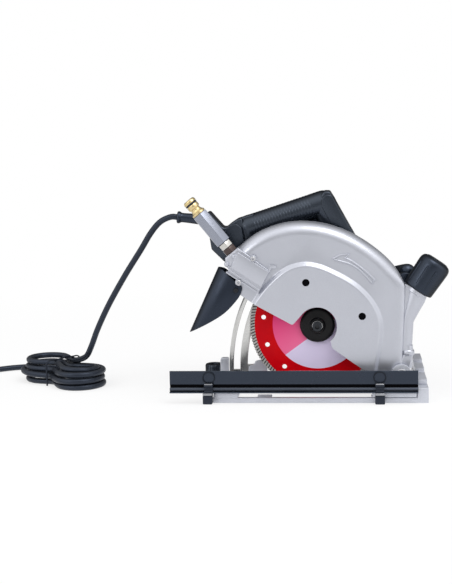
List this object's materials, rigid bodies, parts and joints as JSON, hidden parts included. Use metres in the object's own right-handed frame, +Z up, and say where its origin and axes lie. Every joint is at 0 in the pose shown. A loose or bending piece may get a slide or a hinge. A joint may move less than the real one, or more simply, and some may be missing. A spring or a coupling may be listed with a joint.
{
  "type": "wet-cutting rescue saw",
  "caption": "Hand-held electric wet-cutting circular saw with a diamond blade under a cast guard, a water feed, a rubber splash chute and a looped mains cord.",
  "frame": {"origin": "on the base's underside, straight below the blade's spindle and behind the blade", "axes": "+X to the saw's front, +Z up from the base, +Y away from the open side of the blade"},
  "size_m": [0.811, 0.2366, 0.2713],
  "materials": {
    "cast": "fine cast aluminium",
    "steel": "plain steel",
    "dark_metal": "blackened steel",
    "plastic": "fine-grained black plastic",
    "grey_plastic": "dark smooth plastic",
    "rubber": "dull black rubber",
    "cord": "rubber-sheathed cable",
    "brass": "turned brass",
    "copper": "copper windings",
    "blade_red": "glossy red lacquer"
  },
  "bodies": {
    "head": {"guard_shell": "cast", "guard_back": "cast", "water_block": "cast", "hex_extension": "cast", "gear_case": "cast", "front_arm": "cast", "water_screw_upper": "steel", "water_screw_lower": "steel", "steel_nut": "steel", "spindle_bearing_front": "steel", "spindle_bearing_rear": "steel", "armature_bearing_front": "steel", "armature_bearing_rear": "steel", "depth_clamp_bolt": "steel", "field_stator": "steel", "chute_screw": "dark_metal", "motor_housing": "plastic", "motor_end_cap": "plastic", "brush_cap_front": "plastic", "brush_cap_rear": "plastic", "handle_near": "plastic", "handle_far": "plastic", "front_knob": "plastic", "front_side_handle": "plastic", "switch_module": "grey_plastic", "carbon_brush_front": "grey_plastic", "carbon_brush_rear": "grey_plastic", "splash_chute": "rubber", "nipple_o_ring": "rubber", "cord_boot": "rubber", "hank_tie": "rubber", "mains_plug": "rubber", "cord_lead": "cord", "cord_hank": "cord", "cord_tail": "cord", "cord_coil": "cord", "hose_nipple": "brass", "lock_nut": "brass"},
    "base": {"base_plate": "cast", "pivot_bracket": "cast", "pivot_pin": "steel", "depth_quadrant": "steel", "splash_rail": "rubber", "rail_clip_rear": "dark_metal", "rail_clip_front": "dark_metal"},
    "rear_knob_body": {"rear_knob": "plastic"},
    "clamp_knob_body": {"depth_clamp_knob": "plastic"},
    "blade_body": {"spindle": "steel", "spindle_gear": "steel", "inner_flange": "steel", "blade": "blade_red", "outer_flange": "dark_metal", "arbor_bolt": "dark_metal"},
    "armature_body": {"armature_shaft": "steel", "armature_core": "copper", "commutator": "copper", "cooling_fan": "plastic"},
    "trigger_body": {"trigger": "grey_plastic"},
    "button_body": {"lock_button": "grey_plastic"}
  },
  "joints": [
    {"name": "base_plunge", "type": "hinge", "parent": "head", "child": "base", "pos_m": [0.109, -0.04, 0.034], "axis": [0, 1, 0], "range_deg": [0, 28]},
    {"name": "rear_knob_turn", "type": "hinge", "parent": "base", "child": "rear_knob_body", "pos_m": [-0.145, 0.021, 0.02], "axis": [0, 0, 1], "range_deg": [-720, 720]},
    {"name": "clamp_knob_turn", "type": "hinge", "parent": "head", "child": "clamp_knob_body", "pos_m": [-0.07684, -0.006, 0.15006], "axis": [0, 1, 0], "range_deg": [-360, 360]},
    {"name": "blade_spin", "type": "hinge", "parent": "head", "child": "blade_body", "pos_m": [0, -0.04, 0.097], "axis": [0, 1, 0], "continuous": true},
    {"name": "armature_spin", "type": "hinge", "parent": "head", "child": "armature_body", "pos_m": [0, 0.06, 0.127], "axis": [0, 1, 0], "continuous": true},
    {"name": "trigger_press", "type": "hinge", "parent": "head", "child": "trigger_body", "pos_m": [0.004, 0.008, 0.243], "axis": [0, 1, 0], "range_deg": [0, 5], "stiffness_Nm_per_rad": 1.5, "springref_deg": -5.16},
    {"name": "lock_button_press", "type": "slide", "parent": "head", "child": "button_body", "axis": [0, -1, 0], "range_m": [0, 0.003], "stiffness_N_per_m": 600, "springref_m": -0.002}
  ],
  "couplings": [
    {"joint": "armature_spin", "follows": "blade_spin", "ratio": -4}
  ]
}
